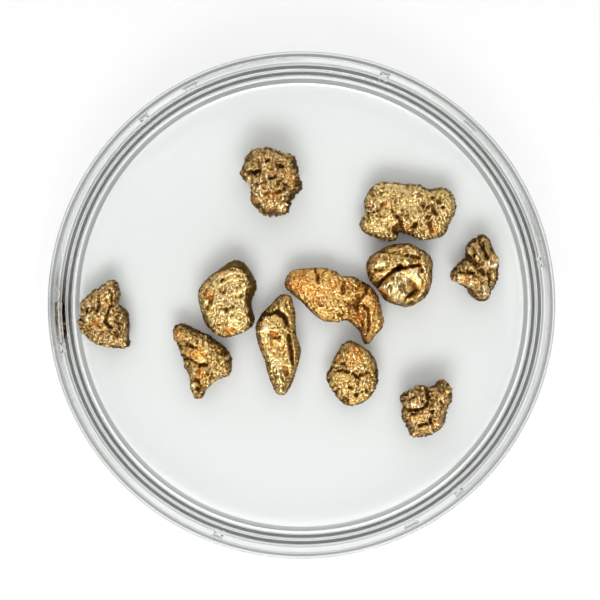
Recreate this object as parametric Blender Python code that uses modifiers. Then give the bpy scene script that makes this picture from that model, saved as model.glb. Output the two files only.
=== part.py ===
"""Clear round sample dish holding eleven loose gold nuggets. Metres, +Z up, the dish stands on Z = 0."""

import math

import bmesh
import bpy

MM = 0.001

# The dish: one injection-moulded tray, widest at its rim.
RIM_RADIUS = 45.0 * MM
DISH_HEIGHT = 15.0 * MM
WALL_AT_RIM = 1.16 * MM
WALL_AT_FLOOR = 1.74 * MM
DRAFT = 1.17 * MM  # how much narrower the outside is at the foot than at the rim
FLOOR_THICKNESS = 1.6 * MM
FOOT_HEIGHT = 0.65 * MM  # the ring that the dish stands on
FOOT_WIDTH = 1.1 * MM
FOOT_SETBACK = 0.88 * MM  # from the outside of the wall to the ring's outer edge
FOOT_TAPER = 0.23 * MM  # how far the ring's inner face leans in
INNER_FILLET = 2.38 * MM
OUTER_FILLET = 0.86 * MM
RIM_ROUND = 0.2 * MM
DISH_STEPS = 72
INNER_FILLET_STEPS = 5
OUTER_FILLET_STEPS = 3
RIM_ROUND_STEPS = 2

# Half-disc tabs on the inside of the rim, where the mould's ejector pins push.
SMALL_TAB_RADIUS = 1.6 * MM
LARGE_TAB_RADIUS = 1.95 * MM
TAB_TOP_DROP = 0.25 * MM  # below the rim
TAB_HEIGHT = 1.5 * MM
TAB_ROOT = 0.4 * MM  # how far inside the outer face a tab starts
TAB_SEGMENTS = 20
SMALL_TAB_ANGLES = [10 + 60 * step for step in range(6)]
LARGE_TAB_ANGLES = [46.8, 117.0, 177.5, 296.6]

FLOOR_TOP = FOOT_HEIGHT + FLOOR_THICKNESS
REST_GAP = 0.3 * MM  # between the floor and each nugget

# How a nugget's outline shrinks from its widest level to its foot and its crown:
# (inset in millimetres, share of the height), from the bottom up.
NUGGET_RINGS = [(0.9, 0.0), (-0.1, 0.22), (-0.2, 0.55), (0.45, 0.86), (1.3, 1.0)]

# Each nugget: centre on the dish floor, height, colour, and its outline seen from above,
# anticlockwise round that centre. All in millimetres.
NUGGETS = {
    "nugget_cavernous": {
        "centre": (-5.6, 22.6),
        "height": 7.5,
        "colour": (0.42, 0.27, 0.10),
        "outline": [
            (-3.2, 5.4), (-4.7, 4.1), (-5.7, 1.4), (-4.1, 0.0), (-3.4, -1.9), (-3.6, -4.1),
            (-2.1, -5.4), (0.6, -6.0), (2.8, -6.1), (3.5, -5.2), (3.4, -3.7), (4.3, -2.8),
            (5.8, -1.3), (4.7, 0.1), (4.6, 2.2), (4.2, 3.8), (3.0, 4.6), (1.4, 5.2),
            (-0.2, 5.9), (-1.0, 5.4), (-2.2, 6.0),
        ],
    },
    "nugget_wide_slab": {
        "centre": (19.4, 17.0),
        "height": 4.2,
        "colour": (0.75, 0.56, 0.24),
        "outline": [
            (-6.6, 4.4), (-7.9, 2.5), (-8.0, 1.1), (-6.7, -0.4), (-8.6, -1.5), (-8.9, -2.7),
            (-8.1, -3.8), (-5.1, -4.5), (-2.9, -5.3), (-1.6, -5.1), (-1.5, -3.2), (-0.2, -3.8),
            (0.9, -3.9), (2.0, -4.9), (4.1, -5.2), (6.3, -4.5), (8.0, -2.2), (9.0, 0.5),
            (8.9, 2.1), (7.8, 3.9), (6.3, 4.5), (4.9, 4.3), (3.9, 3.8), (2.5, 4.8),
            (0.6, 5.3), (-2.1, 5.2), (-5.1, 5.3),
        ],
    },
    "nugget_folded": {
        "centre": (18.1, 5.5),
        "height": 5.6,
        "colour": (0.66, 0.46, 0.17),
        "outline": [
            (-0.8, 5.6), (-2.5, 5.5), (-4.0, 4.7), (-5.5, 3.5), (-6.4, 1.6), (-5.8, -0.2),
            (-4.6, -1.8), (-3.8, -2.9), (-3.2, -4.2), (-2.1, -5.3), (0.0, -5.7), (2.1, -5.5),
            (3.6, -4.7), (5.2, -3.6), (5.9, -1.7), (5.7, 0.2), (6.3, 1.7), (5.9, 2.9),
            (4.8, 4.0), (3.4, 4.9), (1.9, 5.4),
        ],
    },
    "nugget_triangle": {
        "centre": (31.5, 6.6),
        "height": 5.2,
        "colour": (0.40, 0.25, 0.10),
        "outline": [
            (0.6, 5.3), (-0.1, 5.2), (-1.1, 4.7), (-1.6, 3.6), (-1.1, 2.0), (-2.0, 1.5),
            (-3.3, 0.5), (-4.6, -1.4), (-3.6, -2.2), (-1.5, -3.2), (-0.4, -4.2), (0.8, -5.8),
            (2.1, -6.2), (2.9, -5.5), (3.6, -4.0), (4.1, -2.1), (4.4, -0.5), (4.5, 0.8),
            (4.2, 2.3), (3.5, 3.9), (2.6, 5.6), (1.7, 6.2),
        ],
    },
    "nugget_leaf": {
        "centre": (-36.3, -1.8),
        "height": 4.0,
        "colour": (0.52, 0.34, 0.13),
        "outline": [
            (0.7, 6.0), (-0.9, 4.5), (-1.9, 4.4), (-3.6, 3.0), (-4.3, 2.1), (-4.0, 0.8),
            (-4.0, -0.4), (-4.8, -1.0), (-4.6, -2.1), (-3.1, -4.2), (-1.3, -5.3), (0.0, -5.9),
            (1.5, -5.8), (2.9, -6.1), (3.9, -6.4), (4.7, -5.3), (4.5, -3.9), (4.7, -2.5),
            (4.5, -0.4), (3.9, 1.2), (2.7, 1.6), (2.3, 2.4), (2.8, 3.5), (2.6, 5.8), (1.8, 6.5),
        ],
    },
    "nugget_kidney": {
        "centre": (-13.6, 1.1),
        "height": 5.0,
        "colour": (0.70, 0.54, 0.24),
        "outline": [
            (0.3, 6.8), (-1.6, 5.5), (-3.4, 4.1), (-4.7, 2.6), (-5.3, 1.0), (-5.3, -1.0),
            (-4.5, -3.5), (-3.0, -5.5), (-1.6, -6.7), (0.0, -7.2), (1.2, -6.7), (2.8, -6.0),
            (4.3, -5.1), (5.1, -4.2), (4.8, -2.6), (4.2, -1.0), (4.7, 0.6), (5.2, 1.9),
            (5.1, 3.3), (4.2, 5.2), (3.1, 6.7), (1.9, 7.2),
        ],
    },
    "nugget_wedge": {
        "centre": (-18.1, -10.5),
        "height": 4.2,
        "colour": (0.62, 0.42, 0.15),
        "outline": [
            (-5.3, 6.8), (-5.7, 6.0), (-5.3, 4.4), (-4.1, 3.2), (-3.9, 1.8), (-3.2, -0.1),
            (-2.7, -1.6), (-2.6, -3.6), (-2.1, -5.4), (-1.4, -6.9), (-0.4, -6.5), (0.3, -5.7),
            (0.5, -4.8), (2.1, -3.8), (3.6, -2.9), (4.9, -2.2), (5.2, -0.9), (5.7, 0.5),
            (4.6, 1.7), (4.0, 2.8), (2.6, 3.9), (1.0, 4.6), (-0.8, 5.8), (-2.8, 6.7),
            (-4.3, 7.0),
        ],
    },
    "nugget_foot": {
        "centre": (-4.4, -7.3),
        "height": 4.6,
        "colour": (0.66, 0.47, 0.18),
        "outline": [
            (0.0, 8.7), (-0.9, 7.3), (-2.8, 5.9), (-3.9, 4.2), (-4.2, 2.3), (-3.6, -0.1),
            (-2.6, -2.3), (-1.9, -4.4), (-1.3, -6.4), (-0.7, -8.2), (0.2, -9.2), (1.4, -9.1),
            (2.0, -8.0), (2.6, -6.8), (3.6, -4.8), (4.1, -2.6), (4.1, -0.5), (3.6, 1.3),
            (3.1, 3.1), (3.1, 5.3), (2.9, 7.6), (2.5, 8.9), (1.3, 9.2),
        ],
    },
    "nugget_two_lobed": {
        "centre": (5.7, -0.3),
        "height": 3.4,
        "colour": (0.78, 0.48, 0.14),
        "outline": [
            (-8.9, 4.9), (-8.8, 3.6), (-7.5, 2.5), (-5.9, 1.3), (-4.7, -0.2), (-3.3, -1.6),
            (-1.9, -2.7), (0.0, -3.0), (1.5, -2.7), (2.7, -2.1), (4.0, -3.3), (5.3, -4.4),
            (5.5, -6.3), (6.2, -7.1), (7.0, -6.5), (7.8, -5.2), (8.8, -4.3), (9.4, -2.7),
            (9.0, -0.9), (8.5, 0.8), (7.8, 2.8), (6.6, 4.1), (5.0, 4.5), (4.0, 5.4),
            (2.7, 5.5), (1.6, 5.1), (0.4, 6.6), (-0.9, 6.8), (-2.5, 7.3), (-3.7, 7.1),
            (-5.8, 6.9), (-7.9, 6.8),
        ],
    },
    "nugget_oval": {
        "centre": (9.2, -12.5),
        "height": 4.2,
        "colour": (0.68, 0.46, 0.17),
        "outline": [
            (-1.7, 5.1), (-2.8, 3.5), (-3.1, 1.9), (-3.5, 0.8), (-4.4, 0.3), (-4.7, -0.7),
            (-4.5, -1.5), (-3.6, -2.7), (-2.9, -4.1), (-1.7, -5.5), (0.1, -5.9), (1.5, -5.8),
            (2.6, -5.2), (3.9, -3.7), (4.7, -1.9), (4.6, 0.0), (4.5, 1.6), (4.1, 3.1),
            (2.9, 3.9), (1.9, 4.9), (0.9, 5.5), (-0.5, 5.8),
        ],
    },
    "nugget_dark_lobed": {
        "centre": (22.9, -18.9),
        "height": 5.8,
        "colour": (0.36, 0.24, 0.10),
        "outline": [
            (-2.1, 3.6), (-3.0, 3.0), (-4.4, 2.5), (-4.9, 1.6), (-4.2, 0.6), (-3.9, -0.2),
            (-4.5, -1.2), (-3.9, -2.5), (-3.1, -3.7), (-2.9, -4.8), (-1.6, -5.0), (-0.4, -5.1),
            (1.0, -4.7), (2.0, -3.9), (3.0, -3.4), (3.5, -2.2), (3.4, -1.0), (3.9, 0.4),
            (4.6, 1.8), (4.7, 3.1), (4.1, 4.2), (3.3, 4.8), (2.2, 5.1), (1.3, 4.0),
            (0.0, 3.6), (-1.0, 3.9),
        ],
    },
}


def clear_scene():
    for thing in list(bpy.data.objects):
        bpy.data.objects.remove(thing, do_unlink=True)


def new_collection(name):
    collection = bpy.data.collections.new(name)
    bpy.context.scene.collection.children.link(collection)
    return collection


def material(name, colour, roughness, metallic=0.0, transmission=0.0):
    made = bpy.data.materials.new(name)
    made.use_nodes = True
    shader = made.node_tree.nodes["Principled BSDF"]
    shader.inputs["Base Color"].default_value = (*colour, 1.0)
    shader.inputs["Roughness"].default_value = roughness
    shader.inputs["Metallic"].default_value = metallic
    shader.inputs["Transmission Weight"].default_value = transmission
    made.diffuse_color = (*colour, 1.0)
    return made


def mesh_object(name, bm, collection, surface=None):
    mesh = bpy.data.meshes.new(name)
    bm.to_mesh(mesh)
    bm.free()
    thing = bpy.data.objects.new(name, mesh)
    collection.objects.link(thing)
    if surface:
        mesh.materials.append(surface)
    return thing


def arc(centre_x, centre_z, radius, start_degrees, end_degrees, steps):
    """Points along an arc in the profile's plane, both ends included."""
    points = []
    for step in range(steps + 1):
        angle = math.radians(start_degrees + (end_degrees - start_degrees) * step / steps)
        points.append((centre_x + radius * math.cos(angle), centre_z + radius * math.sin(angle)))
    return points


def outer_radius(z):
    """The wall's outside leans in evenly from the rim to the foot."""
    return RIM_RADIUS - DRAFT * (1 - z / DISH_HEIGHT)


def dish_profile():
    """From the middle of the floor, up the inside, over the rim, down the outside and under the floor."""
    inner_foot = outer_radius(FLOOR_TOP) - WALL_AT_FLOOR
    inside = arc(
        inner_foot - INNER_FILLET,
        FLOOR_TOP + INNER_FILLET,
        INNER_FILLET,
        -90,
        0,
        INNER_FILLET_STEPS,
    )
    rim_level = DISH_HEIGHT - RIM_ROUND
    rim_inner = arc(
        RIM_RADIUS - WALL_AT_RIM + RIM_ROUND, rim_level, RIM_ROUND, 180, 90, RIM_ROUND_STEPS
    )
    rim_outer = arc(RIM_RADIUS - RIM_ROUND, rim_level, RIM_ROUND, 90, 0, RIM_ROUND_STEPS)
    outside = arc(
        outer_radius(FOOT_HEIGHT) - OUTER_FILLET,
        FOOT_HEIGHT + OUTER_FILLET,
        OUTER_FILLET,
        0,
        -90,
        OUTER_FILLET_STEPS,
    )
    foot_outer = outer_radius(0.0) - FOOT_SETBACK
    foot_inner = foot_outer - FOOT_WIDTH
    foot = [
        (foot_outer, FOOT_HEIGHT),
        (foot_outer, 0.0),
        (foot_inner, 0.0),
        (foot_inner - FOOT_TAPER, FOOT_HEIGHT),
    ]
    return [
        (0.0, FLOOR_TOP), *inside, *rim_inner, *rim_outer, *outside, *foot, (0.0, FOOT_HEIGHT),
    ]


def rim_tab(name, angle_degrees, radius, collection):
    """Half of a short disc whose straight side is buried in the wall."""
    bm = bmesh.new()
    bmesh.ops.create_circle(bm, cap_ends=True, segments=TAB_SEGMENTS, radius=radius)
    bmesh.ops.bisect_plane(
        bm,
        geom=bm.verts[:] + bm.edges[:] + bm.faces[:],
        plane_co=(-TAB_ROOT, 0.0, 0.0),
        plane_no=(1.0, 0.0, 0.0),
        clear_outer=True,
    )
    swept = bmesh.ops.extrude_face_region(bm, geom=bm.faces[:])
    raised = [item for item in swept["geom"] if isinstance(item, bmesh.types.BMVert)]
    bmesh.ops.translate(bm, verts=raised, vec=(0.0, 0.0, TAB_HEIGHT))
    bmesh.ops.recalc_face_normals(bm, faces=bm.faces[:])
    tab = mesh_object(name, bm, collection)
    angle = math.radians(angle_degrees)
    tab.rotation_euler.z = angle
    tab.location = (
        RIM_RADIUS * math.cos(angle),
        RIM_RADIUS * math.sin(angle),
        DISH_HEIGHT - TAB_TOP_DROP - TAB_HEIGHT,
    )
    tab.display_type = "WIRE"
    return tab


def dish(parts, helpers):
    bm = bmesh.new()
    corners = [bm.verts.new((x, 0.0, z)) for x, z in dish_profile()]
    for start, end in zip(corners, corners[1:]):
        bm.edges.new((start, end))
    tray = mesh_object("dish", bm, parts, material("clear_plastic", (0.90, 0.95, 0.92), 0.05, 0.0, 1.0))

    turn = tray.modifiers.new("turn", "SCREW")
    turn.steps = DISH_STEPS
    turn.render_steps = DISH_STEPS
    turn.use_merge_vertices = True
    turn.merge_threshold = 0.00001
    turn.use_normal_flip = True

    for size, radius, angles in (
        ("small", SMALL_TAB_RADIUS, SMALL_TAB_ANGLES),
        ("large", LARGE_TAB_RADIUS, LARGE_TAB_ANGLES),
    ):
        for number, angle in enumerate(angles):
            rim_tab(f"{size}_tab_{number}", angle, radius, helpers)
    join = tray.modifiers.new("tabs", "BOOLEAN")
    join.operation = "UNION"
    join.operand_type = "COLLECTION"
    join.collection = helpers
    join.solver = "EXACT"
    return tray


def inset_ring(outline, inset):
    """The outline moved inwards by the same amount everywhere, square to its local direction."""
    moved = []
    for index, (x, y) in enumerate(outline):
        before = outline[index - 1]
        after = outline[(index + 1) % len(outline)]
        along_x = after[0] - before[0]
        along_y = after[1] - before[1]
        length = math.hypot(along_x, along_y)
        moved.append((x - inset * along_y / length, y + inset * along_x / length))
    return moved


def nugget(name, spec, parts):
    """A lump whose outline swells from its foot to its belly and closes over its crown."""
    bm = bmesh.new()
    rings = []
    for inset, share in NUGGET_RINGS:
        level = share * spec["height"]
        ring = inset_ring(spec["outline"], inset)
        rings.append([bm.verts.new((x * MM, y * MM, level * MM)) for x, y in ring])
    for lower, upper in zip(rings, rings[1:]):
        for index in range(len(lower)):
            after = (index + 1) % len(lower)
            bm.faces.new((lower[index], lower[after], upper[after], upper[index]))
    caps = [bm.faces.new(reversed(rings[0])), bm.faces.new(rings[-1])]
    bmesh.ops.triangulate(bm, faces=caps, ngon_method="BEAUTY")
    lump = mesh_object(name, bm, parts, material(name + "_gold", spec["colour"], 0.35, 1.0))
    centre_x, centre_y = spec["centre"]
    lump.location = (centre_x * MM, centre_y * MM, FLOOR_TOP + REST_GAP)
    rounding = lump.modifiers.new("rounding", "SUBSURF")
    rounding.levels = 1
    rounding.render_levels = 1
    return lump


def main():
    clear_scene()
    parts = new_collection("sample_dish")
    helpers = new_collection("helpers")
    helpers.hide_render = True
    dish(parts, helpers)
    for name, spec in NUGGETS.items():
        nugget(name, spec, parts)


main()
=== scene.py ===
"""The looks of the gold sample dish: a clear moulded dish and eleven natural gold nuggets lying in it."""

import math

import bmesh
import bpy
import numpy as np
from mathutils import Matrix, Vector, noise


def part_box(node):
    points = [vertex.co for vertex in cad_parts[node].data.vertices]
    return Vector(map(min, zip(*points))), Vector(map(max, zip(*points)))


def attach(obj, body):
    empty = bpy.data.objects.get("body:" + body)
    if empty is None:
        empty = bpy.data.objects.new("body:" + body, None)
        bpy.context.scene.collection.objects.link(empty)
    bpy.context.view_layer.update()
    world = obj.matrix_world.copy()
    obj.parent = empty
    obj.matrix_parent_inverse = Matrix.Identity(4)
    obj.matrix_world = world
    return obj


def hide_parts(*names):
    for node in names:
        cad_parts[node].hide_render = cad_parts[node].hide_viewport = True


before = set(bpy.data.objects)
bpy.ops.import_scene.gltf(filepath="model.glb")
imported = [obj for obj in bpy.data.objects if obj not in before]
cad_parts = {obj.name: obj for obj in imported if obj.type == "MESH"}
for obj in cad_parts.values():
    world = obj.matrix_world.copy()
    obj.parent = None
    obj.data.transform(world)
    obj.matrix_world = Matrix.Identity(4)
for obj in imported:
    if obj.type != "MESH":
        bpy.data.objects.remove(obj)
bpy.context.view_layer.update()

MM = 0.001

# ---------------------------------------------------------------- the dish
DISH_LOW, DISH_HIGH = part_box("dish")
RIM_RADIUS = DISH_HIGH.x
DISH_HEIGHT = DISH_HIGH.z
WALL_AT_RIM = 1.16 * MM
WALL_AT_FLOOR = 1.74 * MM
DRAFT = 1.17 * MM
FLOOR_THICKNESS = 1.6 * MM
FOOT_HEIGHT = 0.65 * MM
FOOT_WIDTH = 1.1 * MM
FOOT_SETBACK = 0.88 * MM
FOOT_TAPER = 0.23 * MM
INNER_FILLET = 2.38 * MM
OUTER_FILLET = 0.86 * MM
RIM_ROUND = 0.2 * MM
FLOOR_TOP = FOOT_HEIGHT + FLOOR_THICKNESS
SUPPORT = 0.02 * MM  # the narrow loops that keep the shading of the straight walls straight
TURN_STEPS = 288

SMALL_TAB_RADIUS = 1.6 * MM
LARGE_TAB_RADIUS = 1.95 * MM
TAB_TOP_DROP = 0.25 * MM
TAB_HEIGHT = 1.5 * MM
TAB_ROOT = 0.4 * MM
TAB_SEGMENTS = 48
SMALL_TAB_ANGLES = [10 + 60 * step for step in range(6)]
LARGE_TAB_ANGLES = [46.8, 117.0, 177.5, 296.6]

# ---------------------------------------------------------------- the nuggets
VOXEL = 0.13 * MM  # edge length of a nugget's fine mesh
CREASE_WIDTH = 0.16  # of the net of creases all over a nugget, in mm
CREASE_DEPTH = 0.32
CREASE_SPACING = 3.0  # in grain sizes
LOWEST = FLOOR_TOP + 0.03 * MM  # nothing on a nugget reaches further down than this

# Per nugget: the gold it is made of, its lumps (size and height in mm), its grains (size and
# height) and its fine tooth. Marks are strokes pressed into the top, or raised from it where the
# depth is negative: (points in mm from the nugget's middle, width, depth). Scarps are the crisp
# edges of folds: the metal to the left of the line stands higher. Stains are orange patches:
# (x, y, radius, strength).
NUGGETS = {
    "nugget_cavernous": {
        "gold": "brown",
        "lumps": (3.0, 0.7),
        "grains": (0.74, 0.42),
        "tooth": (0.36, 0.20),
        "marks": [
            ([(-4.1, 1.2), (-3.1, 1.3), (-2.2, 1.6)], 0.36, 1.1),
            ([(-0.9, 3.2), (-0.3, 3.7)], 0.24, 0.9),
            ([(1.2, 2.7), (2.2, 2.4)], 0.26, 1.0),
            ([(1.1, 1.3), (0.7, 0.4), (-0.2, 0.2)], 0.2, 0.8),
            ([(-0.6, -2.2), (0.6, -2.5), (1.9, -2.1)], 0.26, 0.8),
            ([(3.2, -3.6), (3.3, -5.0)], 0.34, 1.0),
            ([(-2.6, 3.9), (-1.9, 2.6)], 0.2, 0.6),
            ([(-2.6, -0.9), (-1.2, -0.4)], 0.2, 0.6),
            ([(2.2, -0.6), (3.2, -1.2)], 0.2, 0.7),
            ([(-1.6, 4.4), (-0.9, 3.0)], 0.3, -0.5),
            ([(-0.6, 3.0), (0.3, 2.6), (1.0, 1.9)], 0.25, -0.5),
            ([(-0.8, -1.0), (0.1, -1.6)], 0.3, -0.5),
            ([(-2.3, -2.0), (-1.5, -3.0)], 0.35, -0.5),
            ([(3.5, 0.4)], 0.8, -0.4),
            ([(-0.8, -4.6), (0.8, -4.2), (2.0, -4.6)], 0.8, -0.4),
        ],
        "scarps": [],
        "stains": [(3.5, 0.4, 0.9, 1.0), (0.7, -2.3, 0.8, 0.5), (-3.2, -3.4, 0.9, 0.5), (0.9, -4.4, 1.8, 0.35)],
    },
    "nugget_wide_slab": {
        "gold": "pale",
        "lumps": (3.0, 0.45),
        "grains": (0.62, 0.24),
        "tooth": (0.34, 0.18),
        "marks": [
            ([(-3.0, 0.3), (-2.3, -0.8), (-1.5, -1.8), (-1.5, -2.9)], 0.22, 0.7),
            ([(-1.8, -3.4)], 0.75, 2.2),
            ([(1.3, -2.4), (0.9, -3.0)], 0.35, 1.3),
            ([(3.5, -1.0), (3.9, -2.5), (4.4, -3.9)], 0.26, 1.0),
            ([(-1.2, -0.7), (-0.5, -0.7), (-0.1, -1.4)], 0.2, 0.5),
            ([(2.6, 1.3)], 0.45, 0.8),
            ([(4.4, 2.6)], 0.4, 0.8),
            ([(6.3, 0.6)], 0.35, 0.9),
            ([(4.5, -0.1), (5.2, -0.5)], 0.35, 0.9),
            ([(5.4, 1.8), (5.9, 2.6)], 0.35, 0.6),
            ([(3.3, 0.4), (4.1, 1.2)], 0.3, 0.5),
            ([(-4.7, 1.5), (-5.1, 0.4)], 0.3, 0.6),
            ([(-6.6, 3.0), (-5.9, 2.8)], 0.25, 0.6),
            ([(-4.5, 4.3)], 0.3, 0.6),
        ],
        "scarps": [],
        "stains": [(-3.6, 1.4, 1.0, 0.5), (-0.2, -2.8, 1.0, 0.5), (4.8, -3.4, 1.0, 0.6), (-6.8, 1.8, 0.9, 0.4),
                   (-2.4, -2.2, 0.9, 0.35)],
    },
    "nugget_folded": {
        "gold": "bright",
        "lumps": (3.4, 0.5),
        "grains": (0.8, 0.15),
        "tooth": (0.36, 0.09),
        "marks": [
            ([(-4.3, -1.9), (-3.1, -0.9), (-2.1, 0.0), (-0.5, 1.1)], 0.34, 1.3),
            ([(-0.5, 1.1), (1.2, 1.3), (3.1, 1.8), (3.9, 0.7)], 0.26, 1.3),
            ([(-3.6, 4.5), (-1.4, 4.2), (0.8, 3.6), (3.2, 3.3)], 0.3, 0.7),
            ([(-0.9, -2.2)], 1.7, -0.9),
            ([(1.9, 0.1)], 1.2, -0.4),
            ([(0.8, 2.6)], 1.0, -0.5),
            ([(2.6, -3.2), (1.3, -4.3)], 0.5, 1.4),
            ([(1.6, -1.2), (2.6, -2.4)], 0.3, 0.7),
            ([(-3.2, 3.6), (-2.6, 2.2)], 0.2, 0.4),
            ([(-5.2, 0.6), (-3.4, 0.9)], 0.25, 0.6),
            ([(-3.9, -3.2), (-3.0, -4.0)], 0.5, 0.5),
            ([(4.4, -3.6), (5.1, -2.6)], 0.3, 0.6),
        ],
        "scarps": [
            ([(3.6, 1.6), (1.2, 1.1), (-0.5, 1.0), (-2.1, -0.2), (-3.9, -2.2)], 1.3, 0.7),
        ],
        "stains": [(-4.7, 2.6, 0.7, 0.8), (-2.4, -1.0, 0.8, 0.5), (3.6, -2.6, 0.8, 0.4), (3.0, 2.4, 0.8, 0.3)],
    },
    "nugget_triangle": {
        "gold": "brown",
        "lumps": (2.6, 0.5),
        "grains": (0.75, 0.26),
        "tooth": (0.36, 0.13),
        "marks": [
            ([(1.0, 4.8), (1.6, 3.3), (2.3, 1.9)], 0.26, 0.8),
            ([(-1.2, 2.2), (-0.2, 0.9), (0.6, 0.1), (1.4, -0.9)], 0.42, 0.9),
            ([(-3.2, -0.3), (-2.0, -0.8), (-0.6, -0.7)], 0.24, 0.8),
            ([(2.3, -0.9), (2.7, -2.2), (3.1, -4.2)], 0.26, 0.9),
            ([(-0.6, 3.6), (-0.2, 2.4)], 0.24, 0.6),
            ([(0.3, 3.4), (0.9, 2.2), (1.7, 0.9)], 0.3, -0.5),
            ([(-2.6, -1.8), (-0.9, -2.2), (0.6, -2.6), (1.6, -3.8)], 0.55, -0.5),
            ([(1.8, -4.4)], 0.7, -0.5),
            ([(3.3, 2.6), (3.9, 0.6)], 0.3, -0.4),
        ],
        "scarps": [],
        "stains": [(-1.8, -2.0, 1.0, 0.6), (0.0, -2.3, 0.9, 0.5), (3.2, 2.2, 0.8, 0.4)],
    },
    "nugget_leaf": {
        "gold": "brown",
        "lumps": (2.4, 0.35),
        "grains": (0.66, 0.32),
        "tooth": (0.34, 0.13),
        "marks": [
            ([(1.9, 1.9), (1.0, 0.6), (0.4, -1.3), (1.5, -2.5)], 0.2, 0.8),
            ([(1.9, 3.6), (1.8, 2.4)], 0.22, 0.8),
            ([(-0.9, 3.6), (-0.5, 1.8), (-1.2, 0.2)], 0.16, 0.6),
            ([(-3.6, 1.8), (-2.6, 0.4)], 0.16, 0.5),
            ([(-4.6, -0.4), (-3.4, -1.6), (-2.6, -3.0)], 0.2, 0.7),
            ([(2.1, -4.3), (2.7, -3.5)], 0.24, 0.8),
            ([(2.6, 0.6), (3.8, 0.1)], 0.18, 0.6),
            ([(2.2, -1.4), (3.8, -1.8)], 0.18, 0.5),
            ([(-1.6, -1.2), (-0.4, -2.4)], 0.16, 0.5),
        ],
        "scarps": [],
        "stains": [(-1.2, -1.6, 1.2, 0.3), (1.0, 1.8, 0.8, 0.25)],
    },
    "nugget_kidney": {
        "gold": "pale",
        "lumps": (3.4, 0.3),
        "grains": (0.58, 0.14),
        "tooth": (0.32, 0.13),
        "marks": [
            ([(-2.7, -0.1), (-3.6, -1.9)], 0.25, 0.7),
            ([(-1.1, -1.8), (0.0, -1.9), (1.2, -1.5)], 0.22, 0.5),
            ([(0.9, 5.2), (2.4, 5.3)], 0.25, 0.5),
            ([(-0.6, 3.4), (-0.1, 3.9)], 0.3, 0.5),
            ([(2.0, 0.4), (2.8, 0.5)], 0.25, 0.4),
            ([(-3.9, 1.9), (-4.3, 1.0), (-3.7, 0.0), (-2.8, 0.3)], 0.22, 0.6),
            ([(-0.4, -6.3), (0.6, -6.5), (1.3, -5.9)], 0.25, 0.8),
        ],
        "scarps": [
            ([(-0.6, 5.2), (1.2, 5.9), (2.8, 5.5), (3.8, 4.1), (4.1, 2.5), (3.4, 0.5), (4.2, -1.6), (4.4, -3.4)],
             2.6, -0.9),
        ],
        "stains": [(-3.3, 0.9, 0.9, 0.9), (0.5, -5.9, 1.0, 1.0), (-1.2, 4.9, 0.8, 0.5)],
    },
    "nugget_wedge": {
        "gold": "bright",
        "lumps": (2.6, 0.45),
        "grains": (0.66, 0.28),
        "tooth": (0.34, 0.17),
        "marks": [
            ([(-3.6, 2.9), (-2.4, 3.0), (-1.2, 2.6)], 0.26, 0.8),
            ([(-3.1, 0.5), (-1.7, 0.1), (-0.2, -0.8), (0.8, -0.6)], 0.26, 0.8),
            ([(-1.8, -3.1), (-0.8, -3.6), (-0.2, -4.5)], 0.28, 1.0),
            ([(3.2, 1.6), (4.3, 1.4)], 0.35, 0.8),
            ([(-0.9, -5.0), (-0.6, -5.6)], 0.3, 0.8),
            ([(4.6, -0.2), (5.1, 0.3)], 0.5, 0.6),
        ],
        "scarps": [
            ([(-4.4, 5.6), (-2.4, 5.4), (0.2, 3.9), (2.4, 3.0), (3.8, 2.0)], 1.6, -0.5),
        ],
        "stains": [(-0.2, -2.4, 1.1, 0.9), (-0.6, 1.4, 1.3, 0.7), (-4.4, 5.0, 1.2, 0.5), (-2.4, 1.6, 0.8, 0.6)],
    },
    "nugget_foot": {
        "gold": "bright",
        "lumps": (3.2, 0.3),
        "grains": (0.55, 0.12),
        "tooth": (0.32, 0.13),
        "marks": [
            ([(-3.5, 4.7), (-2.0, 5.8), (-0.3, 6.1), (1.2, 5.1), (2.3, 3.5)], 0.36, 1.3),
            ([(2.1, 1.9), (2.4, -0.9), (3.1, -3.4)], 0.26, 1.0),
            ([(-1.0, 2.2), (-0.8, 1.4), (-0.2, 1.3), (0.4, 1.5)], 0.2, 0.7),
            ([(-0.5, 1.9)], 0.4, 0.5),
            ([(1.4, -4.2), (1.9, -5.4)], 0.3, 0.8),
            ([(-0.9, -4.2), (-0.6, -6.2)], 0.25, 0.6),
            ([(0.2, -5.0), (0.7, -6.8)], 0.35, -0.3),
            ([(0.6, -8.2)], 0.6, -0.4),
            ([(2.2, 6.4), (1.7, 7.6)], 0.3, 0.6),
        ],
        "scarps": [
            ([(-2.6, 4.6), (-3.2, 2.6), (-2.7, 0.2), (-1.6, -2.2), (-0.9, -4.4)], 1.6, 0.5),
        ],
        "stains": [(-0.6, 2.0, 0.7, 0.8), (-1.0, -0.6, 1.4, 0.5), (-2.6, -1.0, 0.8, 0.4)],
    },
    "nugget_two_lobed": {
        "gold": "orange",
        "lumps": (3.4, 0.3),
        "grains": (0.55, 0.15),
        "tooth": (0.30, 0.12),
        "marks": [
            ([(-3.4, 6.8), (-3.0, 5.4), (-3.0, 4.2)], 0.2, 0.8),
            ([(1.9, 4.6), (1.9, 3.3), (1.6, 2.2)], 0.22, 0.6),
            ([(6.4, 3.4), (5.8, 2.2), (4.7, 1.3), (4.1, 0.1), (4.4, -1.7), (5.1, -3.9)], 0.24, 0.9),
            ([(4.4, 0.0), (5.5, 0.0), (6.3, -1.0), (6.5, -3.0), (6.3, -4.6)], 0.2, 0.8),
            ([(-3.2, 0.9), (-2.4, 0.2)], 0.25, 0.5),
            ([(3.2, 4.0), (4.2, 3.2)], 0.25, 0.4),
        ],
        "scarps": [
            ([(5.1, -4.0), (4.2, -1.7), (4.0, 0.2), (4.6, 1.5), (6.2, 3.2)], 2.2, -0.6),
        ],
        "stains": [(-6.4, 4.6, 2.4, 0.7), (-3.0, 2.4, 2.0, 0.5), (0.2, 4.2, 1.6, 0.5), (4.6, -2.6, 0.9, 0.9),
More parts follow.
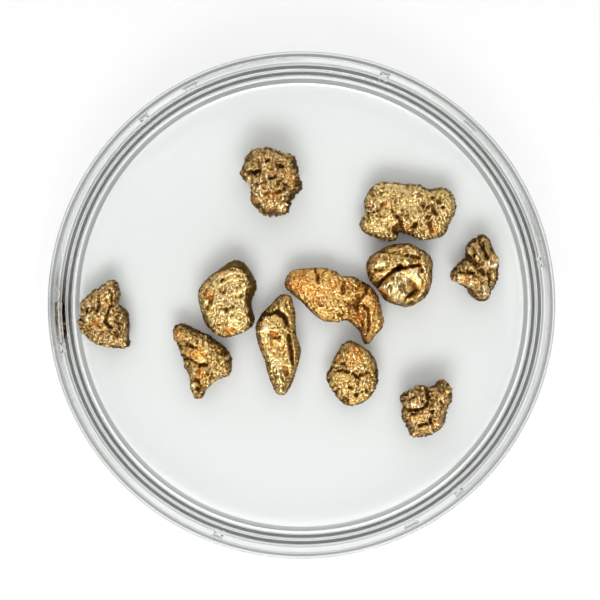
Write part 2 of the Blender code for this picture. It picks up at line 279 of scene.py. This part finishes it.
                   (5.2, 3.0, 0.8, 0.8), (7.6, 0.0, 1.2, 0.5)],
    },
    "nugget_oval": {
        "gold": "bright",
        "lumps": (2.8, 0.35),
        "grains": (0.6, 0.22),
        "tooth": (0.32, 0.17),
        "marks": [
            ([(-1.7, 1.9)], 0.4, 0.8),
            ([(-3.3, 0.5), (-2.0, 0.6), (-0.7, 0.3)], 0.22, 0.7),
            ([(0.2, 0.2), (1.1, -0.7), (2.2, 0.0), (3.3, 0.1), (4.2, -0.8)], 0.24, 0.7),
            ([(-0.4, -2.5)], 0.35, 0.8),
            ([(0.8, -3.9)], 0.3, 0.9),
            ([(-0.8, 4.1)], 0.25, 0.6),
            ([(-0.9, -5.0), (-1.8, -4.4)], 0.35, 0.7),
            ([(-2.8, -2.8), (-3.0, -3.4)], 0.25, 0.5),
            ([(2.4, -1.2)], 0.9, -0.3),
        ],
        "scarps": [],
        "stains": [(0.6, 3.5, 1.5, 0.9), (-0.2, 2.0, 1.0, 0.5), (-2.2, 3.0, 0.9, 0.5)],
    },
    "nugget_dark_lobed": {
        "gold": "brown",
        "lumps": (2.6, 0.4),
        "grains": (0.62, 0.26),
        "tooth": (0.32, 0.13),
        "marks": [
            ([(-3.5, -0.1), (-1.8, -0.2), (-0.2, 0.6), (0.2, 1.9), (0.0, 3.4)], 0.24, 1.0),
            ([(0.9, 1.6), (0.7, 0.7)], 0.28, 0.7),
            ([(1.1, -0.2), (0.5, -1.4), (0.5, -2.2), (1.0, -3.3)], 0.22, 0.8),
            ([(-2.8, -0.9), (-2.0, -0.7)], 0.3, 0.9),
            ([(-1.6, -3.0), (-0.2, -2.5)], 0.24, 0.8),
            ([(-3.5, 1.6), (-2.4, 2.3)], 0.18, 0.6),
            ([(-2.3, 2.9), (-1.6, 0.9)], 0.14, 0.4),
            ([(-1.4, 3.0), (-0.8, 1.2)], 0.14, 0.4),
            ([(1.8, 3.9), (2.6, 2.9)], 0.18, 0.5),
            ([(2.4, 1.4), (3.2, 0.4)], 0.16, 0.5),
            ([(-1.9, 1.6)], 1.5, -0.4),
            ([(-0.35, -0.7)], 0.6, -0.4),
        ],
        "scarps": [],
        "stains": [(-3.8, -1.6, 0.7, 0.3), (1.6, -2.8, 0.8, 0.3)],
    },
}

# Linear colours of each gold: in its hollows, on its flats, and on its crests, where the pale colour is a
# painted highlight.
GOLDS = {
    "pale": ((0.16, 0.085, 0.024), (0.72, 0.51, 0.20), (0.99, 0.88, 0.60)),
    "bright": ((0.14, 0.070, 0.018), (0.67, 0.44, 0.15), (0.97, 0.83, 0.50)),
    "orange": ((0.22, 0.088, 0.020), (0.77, 0.47, 0.15), (1.0, 0.81, 0.42)),
    "brown": ((0.12, 0.060, 0.020), (0.57, 0.37, 0.14), (0.98, 0.82, 0.51)),
}
STAIN = (0.70, 0.32, 0.07)

# ---------------------------------------------------------------- the studio
CAMERA_OVER_RIM = 285 * MM
FIELD_AT_RIM = 106.3 * MM
DISH_OFF_CENTRE = Vector((0.27, -0.89, 0.0)) * MM
SENSOR = 36.0
KEY_POWER = 1.8
ROOM_ABOVE = 1.30
ROOM_LENS = 0.60
ROOM_FRONT = 1.10
ROOM_SIDE = 0.03


def new_object(name, mesh):
    thing = bpy.data.objects.new(name, mesh)
    bpy.context.scene.collection.objects.link(thing)
    return thing


def arc(centre_x, centre_z, radius, start_degrees, end_degrees, steps):
    points = []
    for step in range(steps + 1):
        angle = math.radians(start_degrees + (end_degrees - start_degrees) * step / steps)
        points.append((centre_x + radius * math.cos(angle), centre_z + radius * math.sin(angle)))
    return points


def outer_radius(z):
    return RIM_RADIUS - DRAFT * (1 - z / DISH_HEIGHT)


def dish_profile():
    inner_foot = outer_radius(FLOOR_TOP) - WALL_AT_FLOOR
    inside = arc(inner_foot - INNER_FILLET, FLOOR_TOP + INNER_FILLET, INNER_FILLET, -90, 0, 16)
    rim_level = DISH_HEIGHT - RIM_ROUND
    rim_inner = arc(RIM_RADIUS - WALL_AT_RIM + RIM_ROUND, rim_level, RIM_ROUND, 180, 90, 8)
    rim_outer = arc(RIM_RADIUS - RIM_ROUND, rim_level, RIM_ROUND, 90, 0, 8)
    outside = arc(
        outer_radius(FOOT_HEIGHT) - OUTER_FILLET, FOOT_HEIGHT + OUTER_FILLET, OUTER_FILLET, 0, -90, 14
    )
    foot_outer = outer_radius(0.0) - FOOT_SETBACK
    foot_inner = foot_outer - FOOT_WIDTH
    foot = [
        (foot_outer, FOOT_HEIGHT),
        (foot_outer, 0.0),
        (foot_inner, 0.0),
        (foot_inner - FOOT_TAPER, FOOT_HEIGHT),
    ]
    return [(0.0, FLOOR_TOP), *inside, *rim_inner, *rim_outer, *outside, *foot, (0.0, FOOT_HEIGHT)]


def with_supports(profile):
    """The same profile with a point close to both ends of each long straight."""
    points = [profile[0]]
    for start, end in zip(profile, profile[1:]):
        length = math.dist(start, end)
        if length > 15 * SUPPORT:
            for share in (SUPPORT / length, 1 - SUPPORT / length):
                points.append(tuple(a + share * (b - a) for a, b in zip(start, end)))
        points.append(end)
    return points


def rim_tab(angle_degrees, radius):
    bm = bmesh.new()
    bmesh.ops.create_circle(bm, cap_ends=True, segments=TAB_SEGMENTS, radius=radius)
    bmesh.ops.bisect_plane(
        bm,
        geom=bm.verts[:] + bm.edges[:] + bm.faces[:],
        plane_co=(-TAB_ROOT, 0.0, 0.0),
        plane_no=(1.0, 0.0, 0.0),
        clear_outer=True,
    )
    swept = bmesh.ops.extrude_face_region(bm, geom=bm.faces[:])
    raised = [item for item in swept["geom"] if isinstance(item, bmesh.types.BMVert)]
    bmesh.ops.translate(bm, verts=raised, vec=(0.0, 0.0, TAB_HEIGHT))
    bmesh.ops.recalc_face_normals(bm, faces=bm.faces[:])
    mesh = bpy.data.meshes.new("tab")
    bm.to_mesh(mesh)
    bm.free()
    tab = new_object("tab", mesh)
    angle = math.radians(angle_degrees)
    tab.rotation_euler.z = angle
    tab.location = (
        RIM_RADIUS * math.cos(angle),
        RIM_RADIUS * math.sin(angle),
        DISH_HEIGHT - TAB_TOP_DROP - TAB_HEIGHT,
    )
    return tab


def apply_modifiers(thing):
    """Replaces the object's mesh by its evaluated one."""
    graph = bpy.context.evaluated_depsgraph_get()
    mesh = bpy.data.meshes.new_from_object(thing.evaluated_get(graph), depsgraph=graph)
    thing.modifiers.clear()
    thing.data = mesh


def clear_dish():
    bm = bmesh.new()
    corners = [bm.verts.new((x, 0.0, z)) for x, z in with_supports(dish_profile())]
    edges = [bm.edges.new(pair) for pair in zip(corners, corners[1:])]
    bmesh.ops.spin(
        bm,
        geom=corners + edges,
        cent=(0.0, 0.0, 0.0),
        axis=(0.0, 0.0, 1.0),
        angle=math.tau,
        steps=TURN_STEPS,
        use_merge=True,
    )
    bmesh.ops.remove_doubles(bm, verts=bm.verts, dist=0.00001)
    bmesh.ops.recalc_face_normals(bm, faces=bm.faces[:])
    mesh = bpy.data.meshes.new("clear_dish")
    bm.to_mesh(mesh)
    bm.free()
    dish = new_object("clear_dish", mesh)
    tabs = [rim_tab(angle, SMALL_TAB_RADIUS) for angle in SMALL_TAB_ANGLES]
    tabs += [rim_tab(angle, LARGE_TAB_RADIUS) for angle in LARGE_TAB_ANGLES]
    for tab in tabs:
        join = dish.modifiers.new("tab", "BOOLEAN")
        join.operation = "UNION"
        join.object = tab
        join.solver = "EXACT"
    apply_modifiers(dish)
    for tab in tabs:
        bpy.data.objects.remove(tab, do_unlink=True)
    dish.data.shade_smooth()
    dish.data.set_sharp_from_angle(angle=math.radians(32))
    dish.data.materials.clear()
    dish.data.materials.append(clear_plastic())
    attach(dish, "dish")
    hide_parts("dish")
    return dish


def shader_tree(name):
    made = bpy.data.materials.new(name)
    made.use_nodes = True
    made.node_tree.nodes.clear()
    return made, made.node_tree


def add_node(tree, kind, **values):
    node = tree.nodes.new(kind)
    for key, value in values.items():
        setattr(node, key, value)
    return node


def clear_plastic():
    """Clear polystyrene: real refraction to look through, while lamps shine straight through it."""
    made, tree = shader_tree("clear_plastic")
    glass = add_node(tree, "ShaderNodeBsdfPrincipled")
    glass.inputs["Base Color"].default_value = (0.915, 0.927, 0.919, 1.0)
    glass.inputs["Transmission Weight"].default_value = 1.0
    glass.inputs["IOR"].default_value = 1.58
    grease = add_node(tree, "ShaderNodeTexNoise")
    grease.inputs["Scale"].default_value = 260.0
    grease.inputs["Detail"].default_value = 4.0
    where = add_node(tree, "ShaderNodeTexCoord")
    tree.links.new(where.outputs["Object"], grease.inputs["Vector"])
    haze = add_node(tree, "ShaderNodeMapRange")
    haze.inputs["From Min"].default_value = 0.5
    haze.inputs["From Max"].default_value = 0.8
    haze.inputs["To Min"].default_value = 0.003
    haze.inputs["To Max"].default_value = 0.015
    tree.links.new(grease.outputs["Fac"], haze.inputs["Value"])
    tree.links.new(haze.outputs["Result"], glass.inputs["Roughness"])
    through = add_node(tree, "ShaderNodeBsdfTransparent")
    through.inputs["Color"].default_value = (0.90, 0.91, 0.905, 1.0)
    light_path = add_node(tree, "ShaderNodeLightPath")
    mix = add_node(tree, "ShaderNodeMixShader")
    tree.links.new(light_path.outputs["Is Shadow Ray"], mix.inputs["Fac"])
    tree.links.new(glass.outputs["BSDF"], mix.inputs[1])
    tree.links.new(through.outputs["BSDF"], mix.inputs[2])
    out = add_node(tree, "ShaderNodeOutputMaterial")
    tree.links.new(mix.outputs["Shader"], out.inputs["Surface"])
    return made


def mix_colour(tree, factor, low, high):
    mix = add_node(tree, "ShaderNodeMix", data_type="RGBA")
    tree.links.new(factor, mix.inputs["Factor"])
    for value, socket in ((low, mix.inputs["A"]), (high, mix.inputs["B"])):
        if isinstance(value, bpy.types.NodeSocket):
            tree.links.new(value, socket)
        else:
            socket.default_value = (*value, 1.0)
    return mix.outputs["Result"]


def map_range(tree, value, low, high, to_low=0.0, to_high=1.0):
    ramp = add_node(tree, "ShaderNodeMapRange", interpolation_type="SMOOTHSTEP")
    tree.links.new(value, ramp.inputs["Value"])
    ramp.inputs["From Min"].default_value = low
    ramp.inputs["From Max"].default_value = high
    ramp.inputs["To Min"].default_value = to_low
    ramp.inputs["To Max"].default_value = to_high
    return ramp.outputs["Result"]


def gold(name, tint):
    """Natural gold: brown in its hollows, darker on its steep sides as painted shade, a pale painted highlight
    on its crests, which are also shinier from wear, and stained patches.
    """
    hollow_colour, flat_colour, crest_highlight_colour = GOLDS[tint]
    made, tree = shader_tree(name)
    where = add_node(tree, "ShaderNodeTexCoord").outputs["Object"]
    # This mask holds the surface's height and also painted shade on the steep sides.
    relief_and_painted_light = add_node(tree, "ShaderNodeAttribute", attribute_name="relief_and_painted_light").outputs["Fac"]
    stain = add_node(tree, "ShaderNodeAttribute", attribute_name="stain").outputs["Fac"]

    patches = add_node(tree, "ShaderNodeTexNoise")
    patches.inputs["Scale"].default_value = 900.0
    patches.inputs["Detail"].default_value = 6.0
    tree.links.new(where, patches.inputs["Vector"])
    wander = add_node(tree, "ShaderNodeMath", operation="MULTIPLY_ADD")
    tree.links.new(patches.outputs["Fac"], wander.inputs[0])
    wander.inputs[1].default_value = 0.5
    wander.inputs[2].default_value = -0.25
    height = add_node(tree, "ShaderNodeMath", operation="ADD")
    tree.links.new(relief_and_painted_light, height.inputs[0])
    tree.links.new(wander.outputs["Value"], height.inputs[1])
    height = height.outputs["Value"]

    flat = mix_colour(tree, map_range(tree, height, 0.16, 0.52), hollow_colour, flat_colour)
    stained = mix_colour(tree, stain, flat, STAIN)
    # The pale crest colour is a painted highlight; the crests' lower roughness below is their real wear.
    painted_crest_highlight = mix_colour(tree, map_range(tree, height, 0.50, 0.86), stained, crest_highlight_colour)

    shader = add_node(tree, "ShaderNodeBsdfPrincipled")
    tree.links.new(painted_crest_highlight, shader.inputs["Base Color"])
    shader.inputs["Metallic"].default_value = 1.0
    tree.links.new(map_range(tree, height, 0.2, 0.85, 0.55, 0.26), shader.inputs["Roughness"])

    tooth = add_node(tree, "ShaderNodeTexNoise")
    tooth.inputs["Scale"].default_value = 4200.0
    tooth.inputs["Detail"].default_value = 5.0
    tree.links.new(where, tooth.inputs["Vector"])
    bump = add_node(tree, "ShaderNodeBump")
    bump.inputs["Strength"].default_value = 0.55
    bump.inputs["Distance"].default_value = 0.00006
    tree.links.new(tooth.outputs["Fac"], bump.inputs["Height"])
    tree.links.new(bump.outputs["Normal"], shader.inputs["Normal"])
    out = add_node(tree, "ShaderNodeOutputMaterial")
    tree.links.new(shader.outputs["BSDF"], out.inputs["Surface"])
    return made


def distance_to_line(xy, points):
    """Each point's distance from the polyline, and which side of it: positive on the left."""
    nearest = np.full(len(xy), np.inf)
    side = np.zeros(len(xy))
    if len(points) == 1:
        return np.linalg.norm(xy - np.array(points[0]), axis=1), side
    for start, end in zip(points, points[1:]):
        start, end = np.array(start), np.array(end)
        along = end - start
        share = np.clip((xy - start) @ along / (along @ along), 0.0, 1.0)
        offset = xy - (start + share[:, None] * along)
        distance = np.linalg.norm(offset, axis=1)
        left = along[0] * offset[:, 1] - along[1] * offset[:, 0]
        closer = distance < nearest
        nearest = np.where(closer, distance, nearest)
        side = np.where(closer, np.sign(left), side)
    return nearest, side


def smooth(values):
    share = np.clip(values, 0.0, 1.0)
    return share * share * (3 - 2 * share)


def warped(points, size, reach, seed):
    """The points pushed about by a slow swirl, so that what is drawn over them loses its regularity."""
    shift = Vector((seed * 1.7, seed * 6.1, seed * 3.3))
    swirl = [noise.noise_vector(Vector(point) / size + shift) for point in points]
    return points + reach * np.array(swirl)


def cell_bumps(points, size, seed):
    """Rounded grains with creases between them, from about -0.5 to 0.5."""
    shift = Vector((seed * 7.3, seed * 3.1, seed * 5.7))
    bumps = np.empty(len(points))
    for index, point in enumerate(points):
        distances, _ = noise.voronoi(Vector(point) / size + shift)
        bumps[index] = (distances[1] - distances[0]) * 1.6
    return np.sqrt(np.clip(bumps, 0.0, 1.0)) - 0.6


def creases(points, size, seed):
    """1 along a broken net of thin lines, falling to 0 away from them."""
    shift = Vector((seed * 4.7, seed * 2.3, seed * 9.1))
    gaps = np.empty(len(points))
    for index, point in enumerate(points):
        distances, _ = noise.voronoi(Vector(point) / size + shift)
        gaps[index] = distances[1] - distances[0]
    broken = smooth(0.5 + 2.2 * soft_noise(points, 1.1 * size, seed + 3))
    return np.exp(-((gaps * size / CREASE_WIDTH) ** 2)) * broken


def soft_noise(points, size, seed):
    """Smooth hills and hollows, from about -1 to 1."""
    shift = Vector((seed * 2.9, seed * 8.3, seed * 4.1))
    return np.array([noise.noise(Vector(point) / size + shift) for point in points])


def read_vectors(mesh, collection, name):
    values = np.empty(len(collection) * 3, np.float32)
    collection.foreach_get(name, values)
    return values.reshape(-1, 3).astype(float)


def sculpt(mesh, centre, spec, seed):
    """Presses the marks, folds, grains and tooth into the nugget's fine mesh."""
    points = read_vectors(mesh, mesh.vertices, "co")
    normals = read_vectors(mesh, mesh.vertices, "normal")
    local = (points - np.array(centre)) / MM
    top = smooth((normals[:, 2] + 0.25) / 0.8)

    lump_size, lump_height = spec["lumps"]
    grain_size, grain_height = spec["grains"]
    tooth_size, tooth_height = spec["tooth"]
    swirled = warped(local, 1.3 * grain_size, 0.45 * grain_size, seed)
    lumps = soft_noise(local, lump_size, seed)
    hills = soft_noise(swirled, 0.9 * grain_size, seed + 5)
    small_hills = soft_noise(swirled, 0.5 * grain_size, seed + 7)
    grains = cell_bumps(swirled, 1.25 * grain_size, seed)
    tooth = soft_noise(local, tooth_size, seed + 11)

    plan = warped(local, 0.8, 0.22, seed + 31)[:, :2]  # a little out of true, so that no mark is ruler straight
    net = creases(warped(local, 1.6, 0.9, seed + 17), CREASE_SPACING * grain_size, seed)
    carved = -CREASE_DEPTH * net * top
    for line, width, depth in spec["marks"]:
        distance, _ = distance_to_line(plan, line)
        carved -= depth * np.exp(-((distance / width) ** 2)) * top
    for line, width, height in spec["scarps"]:
        distance, side = distance_to_line(plan, line)
        edge = smooth(0.5 + side * distance / 0.25)
        fade = np.exp(-distance / width)
        carved += height * edge * fade * top

    rough = np.clip(1.0 + 1.2 * lumps, 0.3, 1.8)
    fine = grain_height * rough * (0.9 * hills + 0.45 * small_hills + 0.55 * grains) + tooth_height * tooth
    rise = lump_height * lumps + carved + fine
    moved = points + normals * (rise[:, None] * MM)
    moved[:, 2] = np.maximum(moved[:, 2], LOWEST)
    mesh.vertices.foreach_set("co", moved.astype(np.float32).ravel())

    relief_and_painted_light = 0.50 + 0.50 * fine / (grain_height + tooth_height)
    relief_and_painted_light += np.clip(carved, -1.0, 0.3) * 0.40
    relief_and_painted_light -= 0.32 * smooth((0.62 - normals[:, 2]) / 0.5)  # painted shade: the steep sides are darker in colour
    stain = np.zeros(len(points))
    for x, y, radius, strength in spec["stains"]:
        distance = np.linalg.norm(local[:, :2] - np.array((x, y)), axis=1)
        stain = np.maximum(stain, strength * (1 - smooth(distance / radius - 0.4)) * top)
    for name, values in (("relief_and_painted_light", np.clip(relief_and_painted_light, 0.0, 1.0)), ("stain", stain)):
        attribute = mesh.attributes.new(name, "FLOAT", "POINT")
        attribute.data.foreach_set("value", values.astype(np.float32))
    mesh.update()


def nugget(node, spec, seed):
    low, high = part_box(node)
    centre = Vector(((low.x + high.x) / 2, (low.y + high.y) / 2, low.z))
    piece = new_object(node.replace("nugget", "gold"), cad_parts[node].data.copy())
    fine = piece.modifiers.new("fine", "REMESH")
    fine.mode = "VOXEL"
    fine.voxel_size = VOXEL
    even = piece.modifiers.new("even", "SMOOTH")
    even.factor = 0.5
    even.iterations = 6
    apply_modifiers(piece)
    sculpt(piece.data, centre, spec, seed)
    piece.data.shade_smooth()
    piece.data.materials.clear()
    piece.data.materials.append(gold(piece.name, spec["gold"]))
    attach(piece, node)
    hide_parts(node)
    return piece


def table_top():
    bm = bmesh.new()
    bmesh.ops.create_grid(bm, x_segments=2, y_segments=2, size=1.5)
    mesh = bpy.data.meshes.new("table_top")
    bm.to_mesh(mesh)
    bm.free()
    table = new_object("table_top", mesh)
    made, tree = shader_tree("white_table")
    shader = add_node(tree, "ShaderNodeBsdfPrincipled")
    shader.inputs["Base Color"].default_value = (0.92, 0.92, 0.92, 1.0)
    shader.inputs["Roughness"].default_value = 0.9
    shader.inputs["Specular IOR Level"].default_value = 0.1
    out = add_node(tree, "ShaderNodeOutputMaterial")
    tree.links.new(shader.outputs["BSDF"], out.inputs["Surface"])
    table.data.materials.append(made)


def area_light(name, place, size, power, target=(0.0, 0.0, 0.0)):
    lamp = bpy.data.lights.new(name, "AREA")
    lamp.shape = "RECTANGLE"
    lamp.size, lamp.size_y = size
    lamp.energy = power
    thing = bpy.data.objects.new(name, lamp)
    thing.location = place
    aim = Vector(target) - Vector(place)
    thing.rotation_euler = aim.to_track_quat("-Z", "Y").to_euler()
    thing.visible_transmission = False  # its light passes the clear dish once, as a soft shadow
    bpy.context.scene.collection.objects.link(thing)


def lit_room():
    """Soft light from all round: bright cards in front and behind, darker to the left and right."""
    world = bpy.data.worlds.new("studio")
    bpy.context.scene.world = world
    world.use_nodes = True
    tree = world.node_tree
    tree.nodes.clear()
    where = add_node(tree, "ShaderNodeTexCoord").outputs["Generated"]
    axes = add_node(tree, "ShaderNodeSeparateXYZ")
    tree.links.new(where, axes.inputs["Vector"])
    level = add_node(tree, "ShaderNodeVectorMath", operation="MULTIPLY")
    tree.links.new(where, level.inputs[0])
    level.inputs[1].default_value = (1.0, 1.0, 0.0)
    facing = add_node(tree, "ShaderNodeVectorMath", operation="NORMALIZE")
    tree.links.new(level.outputs["Vector"], facing.inputs[0])
    across = add_node(tree, "ShaderNodeSeparateXYZ")
    tree.links.new(facing.outputs["Vector"], across.inputs["Vector"])
    sideways = add_node(tree, "ShaderNodeMath", operation="ABSOLUTE")
    tree.links.new(across.outputs["X"], sideways.inputs[0])
    sides = map_range(tree, sideways.outputs["Value"], 0.60, 0.85, ROOM_FRONT, ROOM_SIDE)
    above = map_range(tree, axes.outputs["Z"], 0.74, 0.87, 0.0, 1.0)
    strength = add_node(tree, "ShaderNodeMix", data_type="FLOAT")
    tree.links.new(above, strength.inputs["Factor"])
    tree.links.new(sides, strength.inputs["A"])
    tree.links.new(map_range(tree, axes.outputs["Z"], 0.93, 0.99, ROOM_ABOVE, ROOM_LENS), strength.inputs["B"])
    seen = add_node(tree, "ShaderNodeMix", data_type="FLOAT")
    tree.links.new(add_node(tree, "ShaderNodeLightPath").outputs["Is Camera Ray"], seen.inputs["Factor"])
    tree.links.new(strength.outputs["Result"], seen.inputs["A"])
    seen.inputs["B"].default_value = 0.9
    background = add_node(tree, "ShaderNodeBackground")
    background.inputs["Color"].default_value = (1.0, 1.0, 1.0, 1.0)
    tree.links.new(seen.outputs["Result"], background.inputs["Strength"])
    out = add_node(tree, "ShaderNodeOutputWorld")
    tree.links.new(background.outputs["Background"], out.inputs["Surface"])


def studio():
    table_top()
    lit_room()
    area_light("key", (0.0, -0.36, 0.52), (0.34, 0.20), KEY_POWER)
    scene = bpy.context.scene
    scene.view_settings.view_transform = "Standard"
    scene.world.cycles.sampling_method = "NONE"  # the room's light takes the real way through the plastic
    scene.cycles.blur_glossy = 0.0
    scene.cycles.max_bounces = 32
    scene.cycles.glossy_bounces = 32
    scene.cycles.transmission_bounces = 32
    scene.cycles.transparent_max_bounces = 32


def camera():
    data = bpy.data.cameras.new("camera")
    data.sensor_width = SENSOR
    data.lens = SENSOR * CAMERA_OVER_RIM / FIELD_AT_RIM
    data.clip_start = 0.01
    thing = bpy.data.objects.new("camera", data)
    thing.location = Vector((0.0, 0.0, DISH_HEIGHT + CAMERA_OVER_RIM)) - DISH_OFF_CENTRE
    bpy.context.scene.collection.objects.link(thing)
    bpy.context.scene.camera = thing


camera()
clear_dish()
for number, (node, spec) in enumerate(NUGGETS.items()):
    nugget(node, spec, number + 1)
studio()
